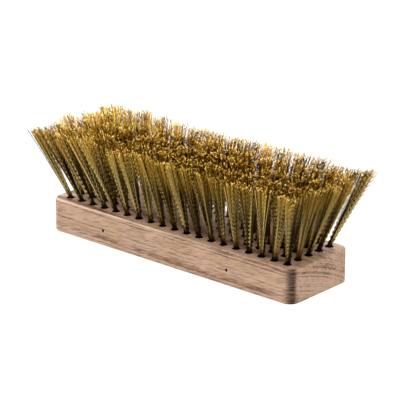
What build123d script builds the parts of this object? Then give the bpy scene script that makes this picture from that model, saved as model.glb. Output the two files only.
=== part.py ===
from build123d import *
from functools import cache
from math import cos, hypot, pi, radians, sin, tan
import os

# A wooden block brush: a beech block drilled on one broad face, brass wire tufts set in the holes and
# fanned outwards, and a flat steel anchor across the fold of each tuft. Millimetres, +Z up. The origin
# is the centre of the block's flat back, which is the underside here, X runs along the block and Y
# across it. The tufts stand on the top face and are trimmed level.

# Block
block_length = 200.0
block_width = 56.0
block_height = 22.0
corner_radius = 7.0  # upright corners
face_edge_radius = 1.5  # round the face that carries the tufts
back_edge_radius = 0.6  # round the flat back

# Tuft field: columns along the block, rows across it
tuft_columns = 19
tuft_rows = 5
end_margin = 10.0  # from the block's end to the outermost tufts
side_margin = 8.0  # from the block's side to the outermost tufts

# Fan: how far a tuft leans outwards
square_columns = 7  # middle columns that stand square along the block
end_lean = 24.0  # degrees along the block, at the end columns
side_lean = 16.0  # degrees across the block, at the outer rows

# Hole, drilled along its tuft's own axis
hole_diameter = 5.2
hole_depth = 13.0

# Tuft: crimped wires folded over the anchor, drawn as eight strands that meet in the fold
trim_height = 47.0  # from the block's face to the trimmed tips
bundle_diameter = 4.2  # at the hole's mouth
wire_diameter = 0.35
wire_ends = 52
strands_a_side = 4  # strands on each side of the anchor
fold_height = 1.0
fold_gap = 0.05  # between the fold and the hole's wall
tip_gap = 0.5  # between the tips of neighbouring tufts
mouth_half_arc = 45.0  # degrees that the strands cover at the hole's mouth, to each side of square
tip_half_arc = 67.5  # the same at the tips

# Anchor: flat wire, driven down the hole so that its ends bite into the wood
anchor_thickness = 0.5
anchor_height = 2.0
anchor_bite = 0.4  # into the wood at each end
anchor_turn = 45.0  # degrees between the anchor and the grain, so that it doesn't split the block

# Clamp holes in both long sides, left by the spikes that hold the block while it is drilled
clamp_hole_diameter = 2.0
clamp_hole_depth = 6.0
clamp_hole_spacing = 103.0
clamp_hole_shift = -2.5  # of the pair's middle along the block
clamp_hole_height = 10.0  # above the back

# What follows from those sizes
column_pitch = (block_length - 2 * end_margin) / (tuft_columns - 1)
row_pitch = (block_width - 2 * side_margin) / (tuft_rows - 1)
last_column = (tuft_columns - 1) / 2 * column_pitch
last_row = (tuft_rows - 1) / 2 * row_pitch
square_span = square_columns * column_pitch / 2
steepest = hypot(tan(radians(end_lean)), tan(radians(side_lean)))  # slope of the corner tufts
drill_overrun = hole_diameter * steepest  # clears the face on the high side
strand_radius = wire_diameter / 2 * (wire_ends / (2 * strands_a_side)) ** 0.5
mouth_radius = bundle_diameter / 2 - strand_radius
tip_radius = (min(column_pitch, row_pitch) * cos(radians(end_lean)) - tip_gap) / 2 - strand_radius


def column_x(column):
    return column * column_pitch - last_column


def row_y(row):
    return row * row_pitch - last_row


def lean_along(x):
    """Degrees a tuft at x leans along the block: none in the middle, easing up to the end lean."""
    if abs(x) <= square_span:
        return 0.0
    to_end = (last_column - abs(x)) / (last_column - square_span)
    return end_lean * (1 - to_end**2) * (1 if x > 0 else -1)


def lean_across(y):
    """Degrees a tuft at y leans across the block, in proportion to its distance from the middle."""
    return side_lean * y / last_row


def tuft_axis(column, row):
    """The way a tuft points, one unit tall, so that its size is the tuft's length over its height."""
    return Vector(tan(radians(lean_along(column_x(column)))), tan(radians(lean_across(row_y(row)))), 1)


def seat(column, row):
    """Where a tuft leaves the face: local +Z points along the tuft, and local X along its anchor."""
    axis = tuft_axis(column, row)
    along = Vector(cos(radians(anchor_turn)), sin(radians(anchor_turn)), 0)
    across = axis.cross(along)
    mouth = (column_x(column), row_y(row), block_height)
    return Plane(origin=mouth, x_dir=across.cross(axis), z_dir=axis).location


def upright(radius, height):
    """A rod that stands on its own base."""
    return Cylinder(radius, height, align=(Align.CENTER, Align.CENTER, Align.MIN))


def drill():
    """The bore of one hole, with an overrun above the face."""
    return Pos(0, 0, -hole_depth) * upright(hole_diameter / 2, hole_depth + drill_overrun)


def anchor():
    """One flat wire anchor, standing on the fold of its tuft."""
    width = hole_diameter + 2 * anchor_bite
    plate = Box(width, anchor_thickness, anchor_height, align=(Align.CENTER, Align.CENTER, Align.MIN))
    return Pos(0, 0, fold_height - hole_depth) * plate


def strand(mouth_angle, tip_angle, length):
    """A straight strand from inside the fold, through the mouth of the hole, to the trimmed tip."""
    mouth = Vector(cos(mouth_angle), sin(mouth_angle), 0) * mouth_radius
    tip = Vector(cos(tip_angle) * tip_radius, sin(tip_angle) * tip_radius, length)
    run = (tip - mouth) / length
    foot = mouth - run * (hole_depth - fold_height / 2)
    rod = upright(strand_radius, (tip - foot).length)
    return Plane(origin=foot, z_dir=run).location * rod


@cache
def tuft(length):
    """One tuft: the fold at the bottom of the hole, and the strands that rise each side of the anchor."""
    body = Pos(0, 0, -hole_depth) * upright(hole_diameter / 2 - fold_gap, fold_height)
    for side in (pi / 2, -pi / 2):
        for k in range(strands_a_side):
            share = 2 * k / (strands_a_side - 1) - 1
            mouth_angle = side + radians(share * mouth_half_arc)
            body += strand(mouth_angle, side + radians(share * tip_half_arc), length)
    return body.solid()


def blank():
    """The shaped block before it is drilled."""
    shape = Box(block_length, block_width, block_height, align=(Align.CENTER, Align.CENTER, Align.MIN))
    shape = fillet(shape.edges().filter_by(Axis.Z), corner_radius)
    shape = fillet(shape.faces().sort_by(Axis.Z)[-1].edges(), face_edge_radius)
    return fillet(shape.faces().sort_by(Axis.Z)[0].edges(), back_edge_radius)


def clamp_holes():
    bores = []
    for side in (-1, 1):
        for end in (-1, 1):
            x = clamp_hole_shift + end * clamp_hole_spacing / 2
            bore = Cylinder(clamp_hole_diameter / 2, 2 * clamp_hole_depth, rotation=(90, 0, 0))
            bores.append(Pos(x, side * block_width / 2, clamp_hole_height) * bore)
    return bores


def block():
    """The block with its holes, and the slots that the ends of the anchors cut in their walls."""
    cuts = clamp_holes()
    for column in range(tuft_columns):
        for row in range(tuft_rows):
            cuts += [seat(column, row) * drill(), seat(column, row) * anchor()]
    return blank() - cuts


def tufts(column):
    placed = []
    for row in range(tuft_rows):
        length = round(trim_height * tuft_axis(column, row).length, 3)
        placed.append(seat(column, row) * tuft(length))
    return Compound(placed)


def anchors(column):
    return Compound([seat(column, row) * anchor() for row in range(tuft_rows)])


os.makedirs("parts", exist_ok=True)
export_step(block(), "parts/block.step")
for number in range(tuft_columns):
    export_step(tufts(number), f"parts/tufts_column_{number + 1:02d}.step")
    export_step(anchors(number), f"parts/anchors_column_{number + 1:02d}.step")
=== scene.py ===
import random
from math import cos, pi, radians, sin, sqrt, tan

import bmesh
import bpy
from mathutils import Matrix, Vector


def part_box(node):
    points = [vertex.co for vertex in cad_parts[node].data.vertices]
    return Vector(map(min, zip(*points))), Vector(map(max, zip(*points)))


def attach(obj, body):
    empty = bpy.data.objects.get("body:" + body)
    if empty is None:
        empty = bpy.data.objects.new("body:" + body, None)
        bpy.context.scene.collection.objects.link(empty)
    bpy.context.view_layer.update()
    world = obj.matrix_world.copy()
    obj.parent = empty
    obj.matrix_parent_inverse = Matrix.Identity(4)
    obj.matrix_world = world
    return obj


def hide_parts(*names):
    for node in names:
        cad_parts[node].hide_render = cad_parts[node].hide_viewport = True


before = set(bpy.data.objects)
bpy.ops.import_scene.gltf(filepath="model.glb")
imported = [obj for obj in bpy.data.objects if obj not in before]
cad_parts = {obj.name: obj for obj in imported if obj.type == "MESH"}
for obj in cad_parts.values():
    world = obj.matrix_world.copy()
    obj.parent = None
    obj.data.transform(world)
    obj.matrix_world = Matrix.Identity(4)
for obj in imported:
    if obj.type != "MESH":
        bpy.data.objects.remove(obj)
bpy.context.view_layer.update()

# A beech block brush with crimped brass wire. Metres, in the frame of the CAD model: X along the block,
# Y across it, Z up, origin at the centre of the block's flat back.

MM = 0.001

# ---------------------------------------------------------------- tuft field, as the block is drilled
COLUMNS = 19
ROWS = 5
END_MARGIN = 10 * MM        # from the block's end to the outermost tufts
SIDE_MARGIN = 8 * MM        # from the block's side to the outermost tufts
SQUARE_COLUMNS = 7          # middle columns that stand square along the block
END_LEAN = 24.0             # degrees along the block, at the end columns
SIDE_LEAN = 16.0            # degrees across the block, at the outer rows
HOLE_DEPTH = 13 * MM
TRIM_HEIGHT = 47 * MM       # from the block's face to the trimmed tips
CORNER_RADIUS = 7 * MM      # the block's upright corners

block_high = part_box("block")[1]
FACE_Z = block_high.z
LAST_X = block_high.x - END_MARGIN
LAST_Y = block_high.y - SIDE_MARGIN
COLUMN_PITCH = 2 * LAST_X / (COLUMNS - 1)
ROW_PITCH = 2 * LAST_Y / (ROWS - 1)
SQUARE_SPAN = SQUARE_COLUMNS * COLUMN_PITCH / 2

# ---------------------------------------------------------------- wire
WIRE_RADIUS = 0.19 * MM     # a little over the CAD model's 0.175, so that the tips cover the field
STRANDS_A_TUFT = 9
WIRES_A_STRAND = 7
STRAND_RADIUS = 0.55 * MM   # at the hole's mouth
SPREAD_RADIUS = 4.0 * MM    # at the tips, where the strands have opened out
LOOSENING = 1.6             # how late up its height a strand opens out
BUNDLE_RADIUS = 1.95 * MM   # at the hole's mouth
FLARE_RADIUS = 9.4 * MM     # at the tips
FLARING = 1.35              # how late up its height the bundle fans
OUTER_EASE = 0.48           # of the spread of the two outer rows, on their outer side
END_EASE = 0.65             # and of the two end columns
END_DROP = 2.5 * MM         # the tufts at the -X end, pressed outwards, reach less high
RIGHT_EASE = 0.8            # the tufts at the +X end stand a little steeper than they were drilled
RIGHT_RISE = 1.6 * MM       # and so reach a little higher
MOUTH_LENGTH = 1 * MM       # straight wire just inside the mouth, and clear of the hole's bottom

CRIMP_PITCH = 3.0 * MM
CRIMP_SWING = 0.48 * MM     # to each side of the wire's line
SWING_LEAST = 0.8           # of that swing
SWING_MOST = 1.15
SETTLE_HEIGHT = 4 * MM      # above the face, where the crimp reaches its full swing

TOP_RISE = 0.9              # millimetres over the tuft's trim, of a wire that isn't short
STRAY_SHARE = 0.03          # of the wires
STRAY_FLARE = 1.2           # how much wider they fan
TONES = 3                   # of brass, from tarnished to clean
DULLEST = 0.1               # mean tone of a strand, from this
CLEANEST = 2.1              # to this

# unevenness, as standard deviations
SLOPE_ALONG = 0.014         # of a tuft
SLOPE_ACROSS = 0.01
TUFT_TRIM = 0.8             # millimetres
WIRE_APART = 0.2            # of a strand's radius
SWING_TURN = 0.25           # radians
TOP_SPREAD = 0.5            # millimetres
TOP_SHORT = 2.4             # millimetres, downwards only
PHASE_SPREAD = 0.08         # of half the crimp's pitch
TONE_SPREAD = 0.9

GOLDEN_ANGLE = pi * (3 - sqrt(5))


def column_x(column):
    return column * COLUMN_PITCH - LAST_X


def row_y(row):
    return row * ROW_PITCH - LAST_Y


def lean_along(x):
    """Degrees a tuft at x leans along the block: none in the middle, easing up to the end lean."""
    if abs(x) <= SQUARE_SPAN:
        return 0.0
    to_end = (LAST_X - abs(x)) / (LAST_X - SQUARE_SPAN)
    return END_LEAN * (1 - to_end**2) * (1 if x > 0 else -1)


def drilled_axis(x, y):
    return Vector((tan(radians(lean_along(x))), tan(radians(SIDE_LEAN * y / LAST_Y)), 1))


# ---------------------------------------------------------------- materials
def linear(hex_colour):
    """An sRGB hex colour as the linear RGBA that a socket takes."""
    rgb = [int(hex_colour[i:i + 2], 16) / 255 for i in (1, 3, 5)]
    return [c / 12.92 if c <= 0.04045 else ((c + 0.055) / 1.055) ** 2.4 for c in rgb] + [1.0]


def node(tree, kind, inputs, **settings):
    """Adds a node, sets its properties, sets or links its inputs, and returns its first live output."""
    made = tree.nodes.new(kind)
    for name, value in settings.items():
        setattr(made, name, value)
    live = [socket for socket in made.inputs if socket.enabled]
    for key, value in inputs.items():
        socket = live[key] if isinstance(key, int) else next(s for s in live if s.name == key)
        if isinstance(value, bpy.types.NodeSocket):
            tree.links.new(value, socket)
        else:
            socket.default_value = value
    return next(socket for socket in made.outputs if socket.enabled)


def new_material(name):
    """A material, its tree and shader, and the place on the object in millimetres."""
    material = bpy.data.materials.new(name)
    material.use_nodes = True
    tree = material.node_tree
    place = tree.nodes.new("ShaderNodeTexCoord").outputs["Object"]
    mm = node(tree, "ShaderNodeVectorMath", {0: place, "Scale": 1 / MM}, operation="SCALE")
    return material, tree, tree.nodes["Principled BSDF"], mm


# Heights above the back, in millimetres, between which the wire turns from its colour down in the tuft,
# painted darker as shade, to its colour at the tips, painted lighter as light falls there, and between which
# it comes clear of the painted shade at its foot
FACE_MM = FACE_Z / MM
BRIGHTENING = (FACE_MM + 22, FACE_MM + 42)
FOOT_SHADE = (FACE_MM, FACE_MM + 9)


def brass_material(name, in_tuft, at_tip):
    """Drawn brass wire, dulled by handling: a yellow metal, with painted shade darkest at its foot and
    painted light at the tips.
    """
    material, tree, shader, mm = new_material(name)
    height = node(tree, "ShaderNodeSeparateXYZ", {0: mm}).node.outputs["Z"]
    # painted light and shade: the wire's colour is lighter towards the tips and darker down in the tuft
    upper = node(tree, "ShaderNodeMapRange", {0: height, 1: BRIGHTENING[0], 2: BRIGHTENING[1]},
                 interpolation_type="SMOOTHSTEP")
    tint = node(tree, "ShaderNodeMix", {0: upper, 1: linear(in_tuft), 2: linear(at_tip)}, data_type="RGBA")
    # painted shade: the wire turns to a dark brown at its foot, near the block's face
    clean = node(tree, "ShaderNodeMapRange", {0: height, 1: FOOT_SHADE[0], 2: FOOT_SHADE[1]},
                 interpolation_type="SMOOTHSTEP")
    colour = node(tree, "ShaderNodeMix", {0: clean, 1: linear("#2E2412"), 2: tint}, data_type="RGBA")
    tree.links.new(colour, shader.inputs["Base Color"])
    shader.inputs["Metallic"].default_value = 1.0
    shader.inputs["Roughness"].default_value = 0.18
    return material


# Beech. The rings are arcs about the heart of the tree, which lay below the block and beyond its -Y side.
# Sizes from here to the end of beech_material are in millimetres.
HEART_Y = -53.0
HEART_Z = -128.0
WAVER = 5.0                     # of the rings, in all
WAVER_SIZE = (70, 60, 60)
# each ring that shows: distance from the heart, half width and depth of colour
RINGS = ((135.3, 3.6, 0.5), (151.3, 1.05, 0.45), (155.5, 2.7, 0.5), (160.5, 1.2, 0.45), (164.5, 1.05, 0.4))
BROAD_RINGS = 0.6               # a millimetre
FINE_RINGS = 1.3
OUTER_WOOD = (140, 156)         # from the heart, over which the broad rings deepen
PATCH_SIZE = (22, 10, 8)
FIBRE_SIZE = (7, 1.2, 0.9)      # drawn coarser than real fibres, which are too fine to show
FIBRE_TILT = 0.16               # radians, nose up along the block
FIBRE_RELIEF = 0.15 * MM        # in metres, as a bump takes it
RAY_SIZE = (5.5, 2.4, 2.0)
RAY_TILT = 0.3
CLUSTER_SIZE = (26, 14, 14)
BLUSH_SIZE = (18, 9, 6)
STRIP_RATE = 0.7                # scorched strips a millimetre
SCORCH_FADES = ((-6.6, 0.3), (5.6, 2.2))    # round the corner: where it starts, and where it is darkest
# heights of the band along the eased top edge that is painted pale as a highlight
EDGE_HIGHLIGHT_BAND = (FACE_MM - 1.1, FACE_MM - 0.6)
EDGE_HIGHLIGHT_LENGTH = (50, -20)       # along X, over which the painted highlight on the edge fades in
CORNER_X = (block_high.x - CORNER_RADIUS) / MM
CORNER_Y = (block_high.y - CORNER_RADIUS) / MM
HOLES_END = CORNER_X - 0.1      # no hole reaches further along the block
RIM = 0.2                       # clean wood at the rim of a tuft hole
BACK_SKIN = 0.5                 # and over the back
CLAMP_HOLES_BELOW = 12.0
CLAMP_HOLES_TO = 27.8           # from the middle of the block, short of its sides
TUFT_HOLES_TO = 23.0
SKIN = 0.05                     # what counts as the surface itself


def beech_material():
    """Steamed beech, planed and sanded: pinkish tan, soft rings, and short dark rays along the grain."""
    material, tree, shader, mm = new_material("beech")
    x, y, z = node(tree, "ShaderNodeSeparateXYZ", {0: mm}).node.outputs
    # distance from the heart, true and then wavering as rings do
    spot = node(tree, "ShaderNodeMapping", {"Vector": mm, "Scale": WAVER_SIZE}, vector_type="TEXTURE")
    wander = node(tree, "ShaderNodeTexNoise", {"Vector": spot, "Scale": 1.0, "Detail": 2.0})
    away = node(tree, "ShaderNodeVectorMath", {0: mm, 1: (0, 1, 1), 2: (0, -HEART_Y, -HEART_Z)},
                operation="MULTIPLY_ADD")
    reach = node(tree, "ShaderNodeVectorMath", {0: away}, operation="LENGTH").node.outputs["Value"]
    ring = node(tree, "ShaderNodeMath", {0: wander, 1: WAVER, 2: reach}, operation="MULTIPLY_ADD")
    ring = node(tree, "ShaderNodeMath", {0: ring, 1: WAVER / 2}, operation="SUBTRACT")
    # broad rings, deeper in colour far from the heart
    broad = node(tree, "ShaderNodeTexNoise", {"W": ring, "Scale": BROAD_RINGS, "Detail": 3.0},
                 noise_dimensions="1D")
    dark = node(tree, "ShaderNodeMapRange", {0: broad, 1: 0.45, 2: 0.72, 3: 0.0, 4: 0.5},
                interpolation_type="SMOOTHSTEP")
    outer = node(tree, "ShaderNodeMapRange", {0: reach, 1: OUTER_WOOD[0], 2: OUTER_WOOD[1], 3: 0.5, 4: 1.2},
                 interpolation_type="SMOOTHSTEP")
    dark = node(tree, "ShaderNodeMath", {0: dark, 1: outer}, operation="MULTIPLY")
    for distance, half_width, depth in RINGS:
        apart = node(tree, "ShaderNodeMath", {0: ring, 1: distance}, operation="SUBTRACT")
        apart = node(tree, "ShaderNodeMath", {0: apart}, operation="ABSOLUTE")
        line = node(tree, "ShaderNodeMapRange", {0: apart, 1: 0.0, 2: half_width, 3: depth, 4: 0.0},
                    interpolation_type="SMOOTHSTEP")
        dark = node(tree, "ShaderNodeMath", {0: dark, 1: line}, operation="MAXIMUM")
    fine = node(tree, "ShaderNodeTexNoise", {"W": ring, "Scale": FINE_RINGS, "Detail": 2.0},
                noise_dimensions="1D")
    fine = node(tree, "ShaderNodeMapRange", {0: fine, 1: 0.4, 2: 0.7, 3: -0.1, 4: 0.4},
                interpolation_type="SMOOTHSTEP")
    dark = node(tree, "ShaderNodeMath", {0: dark, 1: fine}, operation="ADD")
    # the rings fade and deepen along the grain
    spot = node(tree, "ShaderNodeMapping", {"Vector": mm, "Scale": PATCH_SIZE}, vector_type="TEXTURE")
    patch = node(tree, "ShaderNodeTexNoise", {"Vector": spot, "Scale": 1.0, "Detail": 2.0})
    patch = node(tree, "ShaderNodeMapRange", {0: patch, 1: 0.3, 2: 0.65, 3: 0.45, 4: 1.35},
                 interpolation_type="SMOOTHSTEP")
    dark = node(tree, "ShaderNodeMath", {0: dark, 1: patch}, operation="MULTIPLY")
    # fibres
    spot = node(tree, "ShaderNodeMapping",
                {"Vector": mm, "Rotation": (0, -FIBRE_TILT, 0), "Scale": FIBRE_SIZE}, vector_type="TEXTURE")
    fibre = node(tree, "ShaderNodeTexNoise", {"Vector": spot, "Scale": 1.0, "Detail": 3.0, "Roughness": 0.65})
    streak = node(tree, "ShaderNodeMapRange", {0: fibre, 1: 0.3, 2: 0.72, 3: -0.3, 4: 0.45},
                  interpolation_type="SMOOTHSTEP")
    dark = node(tree, "ShaderNodeMath", {0: dark, 1: streak}, operation="ADD")
    # rays: dark flecks 2 or 3 mm long, in clusters
    spot = node(tree, "ShaderNodeMapping",
                {"Vector": mm, "Rotation": (0, -RAY_TILT, 0), "Scale": RAY_SIZE}, vector_type="TEXTURE")
    cell = node(tree, "ShaderNodeTexVoronoi", {"Vector": spot, "Scale": 1.0})
    fleck = node(tree, "ShaderNodeMapRange", {0: cell, 1: 0.08, 2: 0.3, 3: 0.75, 4: 0.0},
                 interpolation_type="SMOOTHSTEP")
    chosen = node(tree, "ShaderNodeMapRange", {0: cell.node.outputs["Color"], 1: 0.3, 2: 0.6},
                  interpolation_type="SMOOTHSTEP")
    fleck = node(tree, "ShaderNodeMath", {0: fleck, 1: chosen}, operation="MULTIPLY")
    spot = node(tree, "ShaderNodeMapping", {"Vector": mm, "Scale": CLUSTER_SIZE}, vector_type="TEXTURE")
    cluster = node(tree, "ShaderNodeTexNoise", {"Vector": spot, "Scale": 1.0})
    cluster = node(tree, "ShaderNodeMapRange", {0: cluster, 1: 0.4, 2: 0.6, 3: 0.25, 4: 1.0},
                   interpolation_type="SMOOTHSTEP")
    dark = node(tree, "ShaderNodeMath", {0: fleck, 1: cluster, 2: dark}, operation="MULTIPLY_ADD")
    # clean wood, pinker and yellower in patches
    spot = node(tree, "ShaderNodeMapping", {"Vector": mm, "Scale": BLUSH_SIZE}, vector_type="TEXTURE")
    blush = node(tree, "ShaderNodeTexNoise", {"Vector": spot, "Scale": 1.0})
    blush = node(tree, "ShaderNodeMapRange", {0: blush, 1: 0.38, 2: 0.62}, interpolation_type="SMOOTHSTEP")
    clean = node(tree, "ShaderNodeMix", {0: blush, 1: linear("#AC8C76"), 2: linear("#A58669")},
                 data_type="RGBA")
    wood = node(tree, "ShaderNodeMix", {0: dark, 1: clean, 2: linear("#5A3B25")}, data_type="RGBA")
    # painted highlight: the eased edge round the drilled face, painted pale as if it caught the light, over
    # the half of the block towards -X
    edge_highlight = node(tree, "ShaderNodeMapRange", {0: z, 1: EDGE_HIGHLIGHT_BAND[0], 2: EDGE_HIGHLIGHT_BAND[1]},
                  interpolation_type="SMOOTHSTEP")
    highlight_fade = node(tree, "ShaderNodeMapRange", {0: x, 1: EDGE_HIGHLIGHT_LENGTH[0], 2: EDGE_HIGHLIGHT_LENGTH[1], 3: 0.0, 4: 0.4},
                interpolation_type="SMOOTHSTEP")
    edge_highlight = node(tree, "ShaderNodeMath", {0: edge_highlight, 1: highlight_fade}, operation="MULTIPLY")
    below = node(tree, "ShaderNodeMath", {0: z, 1: FACE_MM - SKIN}, operation="LESS_THAN")
    edge_highlight = node(tree, "ShaderNodeMath", {0: edge_highlight, 1: below}, operation="MULTIPLY")
    wood = node(tree, "ShaderNodeMix", {0: edge_highlight, 1: wood, 2: linear("#E3CCB6")}, data_type="RGBA")
    # scorch that the corner cutter left round the +X -Y corner, in strips, fading at both ends of its turn
    turn_x = node(tree, "ShaderNodeMath", {0: x, 1: CORNER_X}, operation="SUBTRACT")
    turn_y = node(tree, "ShaderNodeMath", {0: y, 1: CORNER_Y}, operation="ADD")
    turn = node(tree, "ShaderNodeMath", {0: turn_x, 1: turn_y}, operation="ADD")
    strips = node(tree, "ShaderNodeTexNoise", {"W": z, "Scale": STRIP_RATE, "Detail": 3.0},
                  noise_dimensions="1D")
    scorch = node(tree, "ShaderNodeMapRange", {0: strips, 1: 0.3, 2: 0.65, 3: 0.6, 4: 1.0},
                  interpolation_type="SMOOTHSTEP")
    for start, full in SCORCH_FADES:
        fade = node(tree, "ShaderNodeMapRange", {0: turn, 1: start, 2: full}, interpolation_type="SMOOTHSTEP")
        scorch = node(tree, "ShaderNodeMath", {0: scorch, 1: fade}, operation="MULTIPLY")
    scorch = node(tree, "ShaderNodeMath", {0: scorch, 1: below}, operation="MULTIPLY")
    wood = node(tree, "ShaderNodeMix", {0: scorch, 1: wood, 2: linear("#2A190B")}, data_type="RGBA")
    # painted shade: the walls of the drilled holes, painted near black for the shade inside them, and browned
    # by the bit
    low = node(tree, "ShaderNodeMath", {0: z, 1: CLAMP_HOLES_BELOW}, operation="LESS_THAN")
    inside = node(tree, "ShaderNodeMath", {0: low, 1: CLAMP_HOLES_TO - TUFT_HOLES_TO, 2: TUFT_HOLES_TO},
                  operation="MULTIPLY_ADD")
    off_y = node(tree, "ShaderNodeMath", {0: y}, operation="ABSOLUTE")
    off_x = node(tree, "ShaderNodeMath", {0: x}, operation="ABSOLUTE")
    hole_wall_shade = node(tree, "ShaderNodeMath", {0: off_y, 1: inside}, operation="LESS_THAN")
    for value, limit, test in ((off_x, HOLES_END, "LESS_THAN"), (z, FACE_MM - RIM, "LESS_THAN"),
                               (z, BACK_SKIN, "GREATER_THAN")):
        within = node(tree, "ShaderNodeMath", {0: value, 1: limit}, operation=test)
        hole_wall_shade = node(tree, "ShaderNodeMath", {0: hole_wall_shade, 1: within}, operation="MULTIPLY")
    wood = node(tree, "ShaderNodeMix", {0: hole_wall_shade, 1: wood, 2: linear("#241710")}, data_type="RGBA")
    tree.links.new(wood, shader.inputs["Base Color"])
    shader.inputs["Roughness"].default_value = 0.45
    shader.inputs["Specular IOR Level"].default_value = 0.25
    grain = node(tree, "ShaderNodeBump", {"Height": fibre, "Strength": 0.3, "Distance": FIBRE_RELIEF})
    tree.links.new(grain, shader.inputs["Normal"])
    return material


def steel_material():
    """Galvanised flat wire: a mid grey metal with a faint mottle of zinc, a millimetre or so across."""
    material, tree, shader, mm = new_material("galvanised_flat_wire")
    mottle = node(tree, "ShaderNodeTexNoise", {"Vector": mm, "Scale": 1.0})
    zinc = node(tree, "ShaderNodeMix", {0: mottle, 1: linear("#85878A"), 2: linear("#B9BBBD")},
                data_type="RGBA")
    tree.links.new(zinc, shader.inputs["Base Color"])
    shader.inputs["Metallic"].default_value = 1.0
    shader.inputs["Roughness"].default_value = 0.4
    return material


def paint(thing, *materials):
    thing.data.materials.clear()
    for material in materials:
        thing.data.materials.append(material)


# ---------------------------------------------------------------- wires
def flat_turn(angle):
    return Vector((cos(angle), sin(angle), 0))


def evenly(index, count, start):
    """The place of one of count points spread evenly over a circle of radius 1."""
    return flat_turn(start + index * GOLDEN_ANGLE) * sqrt((index + 0.5) / count)


def wire_path(mouth, axis, lean, strand, apart, swing, top, offset, flare):
    """One wire, from the fold at the bottom of the hole to its trimmed tip, zigzagging as it is crimped."""
    at_mouth = strand * (BUNDLE_RADIUS - STRAND_RADIUS) + apart * STRAND_RADIUS
    path = [mouth + at_mouth - axis * (HOLE_DEPTH - MOUTH_LENGTH), mouth + at_mouth - axis * MOUTH_LENGTH]
    half_pitch = CRIMP_PITCH / 2
    height = offset * half_pitch
    side = 1
    while height < top + half_pitch:
        at = min(height, top)
        share = at / TRIM_HEIGHT
        narrow = BUNDLE_RADIUS - STRAND_RADIUS
        fan = narrow + (flare - SPREAD_RADIUS - narrow) * share**FLARING
        loosen = STRAND_RADIUS + (SPREAD_RADIUS - STRAND_RADIUS) * share**LOOSENING
        settle = min(1.0, at / SETTLE_HEIGHT)
        across = strand * fan + apart * loosen
        if across.y * axis.y > 0 and abs(mouth.y) > LAST_Y - ROW_PITCH / 2:
            across.y *= OUTER_EASE
        if across.x * axis.x > 0 and abs(mouth.x) > LAST_X - COLUMN_PITCH / 2:
            across.x *= END_EASE
        path.append(mouth + lean * at + across + swing * side * settle)
        side = -side
        height += half_pitch
    return path


def tuft_paths(column, row, rng):
    """The wires of one tuft, each with its tone. They cling in strands low down, and spread at the tips."""
    x, y = column_x(column), row_y(row)
    axis = drilled_axis(x, y)
    mouth = Vector((x, y, FACE_Z))
    ease = RIGHT_EASE if x > 0 else 1.0
    lean = Vector((axis.x * ease + rng.gauss(0, SLOPE_ALONG), axis.y + rng.gauss(0, SLOPE_ACROSS), 1))
    trim = TRIM_HEIGHT - END_DROP * (column == 0) + RIGHT_RISE * max(0.0, x / LAST_X)
    trim += rng.gauss(0, TUFT_TRIM) * MM
    start = rng.uniform(0, 2 * pi)
    paths = []
    for number in range(STRANDS_A_TUFT):
        strand = evenly(number, STRANDS_A_TUFT, start)
        crimp_turn = rng.uniform(0, 2 * pi)
        phase = rng.random()
        shade = rng.uniform(DULLEST, CLEANEST)
        for wire in range(WIRES_A_STRAND):
            apart = evenly(wire, WIRES_A_STRAND, crimp_turn)
            apart += Vector((rng.gauss(0, WIRE_APART), rng.gauss(0, WIRE_APART), 0))
            swing = flat_turn(crimp_turn + rng.gauss(0, SWING_TURN)) * CRIMP_SWING
            swing *= rng.uniform(SWING_LEAST, SWING_MOST)
            top = trim + (TOP_RISE + rng.gauss(0, TOP_SPREAD) - abs(rng.gauss(0, TOP_SHORT))) * MM
            offset = (phase + rng.gauss(0, PHASE_SPREAD)) % 1.0
            flare = FLARE_RADIUS * (STRAY_FLARE if rng.random() < STRAY_SHARE else 1.0)
            tone = min(TONES - 1, max(0, round(rng.gauss(shade, TONE_SPREAD))))
            paths.append((tone, wire_path(mouth, axis, lean, strand, apart, swing, top, offset, flare)))
    return paths


def wires_of_column(column, tones):
    """All wires of one column's tufts. The tones go on first: a spline can only take one that is there."""
    rng = random.Random(column + 1)
    curve = bpy.data.curves.new(f"brass_wires_column_{column + 1:02d}", "CURVE")
    curve.dimensions = "3D"
    curve.bevel_depth = WIRE_RADIUS
    curve.bevel_resolution = 0
    curve.use_fill_caps = True
    piece = bpy.data.objects.new(curve.name, curve)
    paint(piece, *tones)
    for row in range(ROWS):
        for tone, path in tuft_paths(column, row, rng):
            spline = curve.splines.new("POLY")
            spline.material_index = tone
            spline.points.add(len(path) - 1)
            spline.points.foreach_set("co", [value for point in path for value in (*point, 1.0)])
    bpy.context.scene.collection.objects.link(piece)
    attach(piece, "root")
    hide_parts(f"tufts_column_{column + 1:02d}")


# ---------------------------------------------------------------- floor, lights and camera
# a square lamp each: place, side and power
LAMPS = {"back_light": ((-0.4, 1.0, 1.1), 0.8, 9),
         "top_light": ((-0.9, 0.5, 1.1), 0.8, 14),
         "left_light": ((-1.0, -0.5, 1.1), 0.6, 8)}
# strength, and the side that it comes from: above, below, then round the object
SOFT_LIGHT = ((2.85, (0, 0, 1)), (0.05, (0, 0, -1)), (2.8, (-0.75, -0.66, 0)), (2.3, (0.75, 0.66, 0)),
              (1.0, (0.66, -0.75, 0)), (0.9, (-0.66, 0.75, 0)))
SOFT_FALL_OFF = 3.0             # power of the cosine from each side
AIM = Vector((-5.6, 10.1, 31.9)) * MM
AZIMUTH = radians(41.31)
ELEVATION = radians(19.64)
DISTANCE = 1385.2 * MM
FLOOR_RADIUS = 4.0


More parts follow.
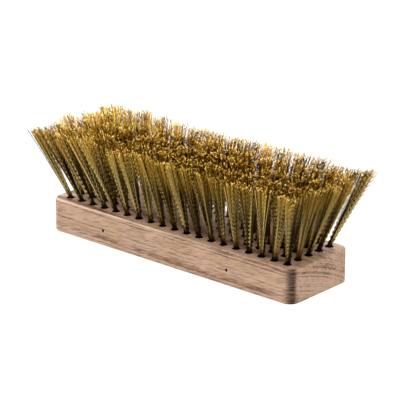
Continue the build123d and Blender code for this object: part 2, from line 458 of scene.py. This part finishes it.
def make_floor():
    """A white sweep that glows evenly, so that it stays white round the brush and takes a faint shadow."""
    mesh = bmesh.new()
    bmesh.ops.create_circle(mesh, cap_ends=True, segments=64, radius=FLOOR_RADIUS)
    data = bpy.data.meshes.new("floor")
    mesh.to_mesh(data)
    mesh.free()
    floor = bpy.data.objects.new("floor", data)
    bpy.context.scene.collection.objects.link(floor)
    material = bpy.data.materials.new("white_sweep")
    material.use_nodes = True
    shader = material.node_tree.nodes["Principled BSDF"]
    shader.inputs["Base Color"].default_value = (0.05, 0.05, 0.05, 1)
    shader.inputs["Roughness"].default_value = 0.9
    shader.inputs["Emission Color"].default_value = (1, 1, 1, 1)
    shader.inputs["Emission Strength"].default_value = 1.0
    paint(floor, material)
    floor.visible_glossy = False        # kept out of the wires' reflections, as dark card does in a studio


def make_lamps():
    for name, (place, side, power) in LAMPS.items():
        light = bpy.data.lights.new(name, "AREA")
        light.size = side
        light.energy = power
        lamp = bpy.data.objects.new(name, light)
        lamp.location = place
        lamp.rotation_euler = (-Vector(place)).to_track_quat("-Z", "Y").to_euler()
        bpy.context.scene.collection.objects.link(lamp)


def make_world():
    """Soft light all round, of its own strength from each side."""
    world = bpy.data.worlds.new("studio")
    world.use_nodes = True
    tree = world.node_tree
    ray = tree.nodes.new("ShaderNodeTexCoord").outputs["Generated"]
    light = 0.0
    for strength, side in SOFT_LIGHT:
        facing = node(tree, "ShaderNodeVectorMath", {0: ray, 1: side}, operation="DOT_PRODUCT")
        facing = node(tree, "ShaderNodeMath", {0: facing.node.outputs["Value"], 1: 0.0}, operation="MAXIMUM")
        facing = node(tree, "ShaderNodeMath", {0: facing, 1: SOFT_FALL_OFF}, operation="POWER")
        light = node(tree, "ShaderNodeMath", {0: facing, 1: strength, 2: light}, operation="MULTIPLY_ADD")
    background = tree.nodes["Background"]
    background.inputs["Color"].default_value = (1, 1, 1, 1)
    tree.links.new(light, background.inputs["Strength"])
    bpy.context.scene.world = world


def make_camera():
    out = Vector((sin(AZIMUTH) * cos(ELEVATION), -cos(AZIMUTH) * cos(ELEVATION), sin(ELEVATION)))
    data = bpy.data.cameras.new("camera")
    data.lens = 198.2
    data.sensor_width = 36.0
    data.clip_end = 20.0
    camera = bpy.data.objects.new("camera", data)
    camera.location = AIM + out * DISTANCE
    camera.rotation_euler = (pi / 2 - ELEVATION, 0, AZIMUTH)
    bpy.context.scene.collection.objects.link(camera)
    bpy.context.scene.camera = camera


# ---------------------------------------------------------------- the brush, and the room it stands in
brass = (brass_material("tarnished_brass_wire", "#1C1305", "#684812"),
         brass_material("drawn_brass_wire", "#8A692C", "#E0B44A"),
         brass_material("clean_brass_wire", "#FFE494", "#FFE180"))
steel = steel_material()
for number in range(COLUMNS):
    wires_of_column(number, brass)
    paint(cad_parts[f"anchors_column_{number + 1:02d}"], steel)
paint(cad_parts["block"], beech_material())

make_floor()
make_lamps()
make_world()
make_camera()
bpy.context.scene.view_settings.view_transform = "Standard"
